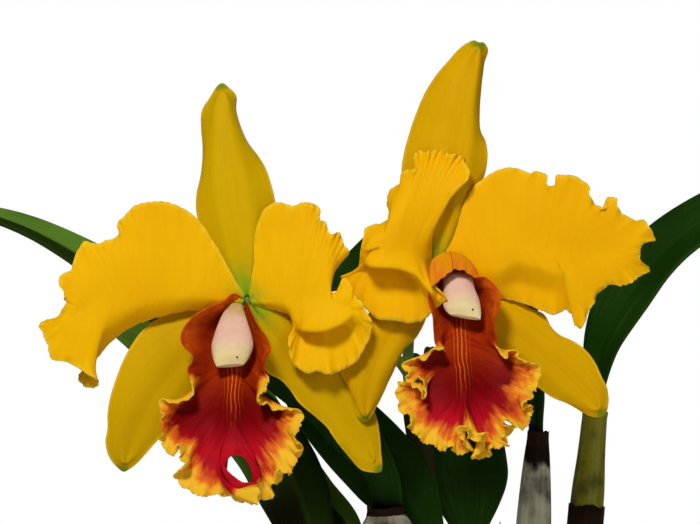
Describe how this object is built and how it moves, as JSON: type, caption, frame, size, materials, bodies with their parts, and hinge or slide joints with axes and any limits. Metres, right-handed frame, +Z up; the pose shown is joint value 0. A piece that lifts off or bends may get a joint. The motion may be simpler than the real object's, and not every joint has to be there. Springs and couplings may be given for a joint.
{
  "type": "potted cattleya orchid",
  "caption": "Cattleya orchid in a clay pot: stout pseudobulbs and leathery leaves carrying broad yellow blooms with ruffled crimson lips; for display.",
  "frame": {"origin": "centre of the pot's underside", "axes": "+Z up along the pot's axis; the blooms face -Y; +X to the right seen from the front"},
  "size_m": [0.3503, 0.1792, 0.4138],
  "materials": {
    "terracotta": "unglazed fired clay",
    "bark": "rough fir bark",
    "root": "dry velvety root skin",
    "shoot": "smooth green skin",
    "bulb_green": "smooth olive skin",
    "bulb_silver": "dry silvery paper skin over green",
    "bulb_old": "dry brown skin",
    "leaf": "stiff waxy leaf, half gloss",
    "stem": "smooth green skin",
    "sheath": "dry papery sheath",
    "sepal": "matte soft tissue, olive yellow",
    "petal": "matte soft tissue, golden yellow",
    "lip": "velvety crimson with a ruffled orange edge",
    "column": "waxy pinkish white",
    "anther": "waxy cream"
  },
  "bodies": {
    "root": {"pot": "terracotta", "bark": "bark", "rhizome": "root", "young_shoot": "shoot", "pseudobulb_1": "bulb_green", "pseudobulb_2": "bulb_silver", "pseudobulb_3": "bulb_green", "pseudobulb_4": "bulb_green", "pseudobulb_5": "bulb_silver", "pseudobulb_6": "bulb_green", "pseudobulb_7": "bulb_old", "leaf_1": "leaf", "leaf_2": "leaf", "leaf_3": "leaf", "leaf_4": "leaf", "leaf_5": "leaf", "leaf_6": "leaf", "leaf_7": "leaf", "flower_stem": "stem", "flower_sheath": "sheath", "left_column": "column", "left_anther_cap": "anther", "left_lip": "lip", "left_left_petal": "petal", "left_right_petal": "petal", "left_left_sepal": "sepal", "left_right_sepal": "sepal", "left_dorsal_sepal": "sepal", "right_column": "column", "right_anther_cap": "anther", "right_lip": "lip", "right_left_petal": "petal", "right_right_petal": "petal", "right_left_sepal": "sepal", "right_right_sepal": "sepal", "right_dorsal_sepal": "sepal"}
  },
  "joints": []
}
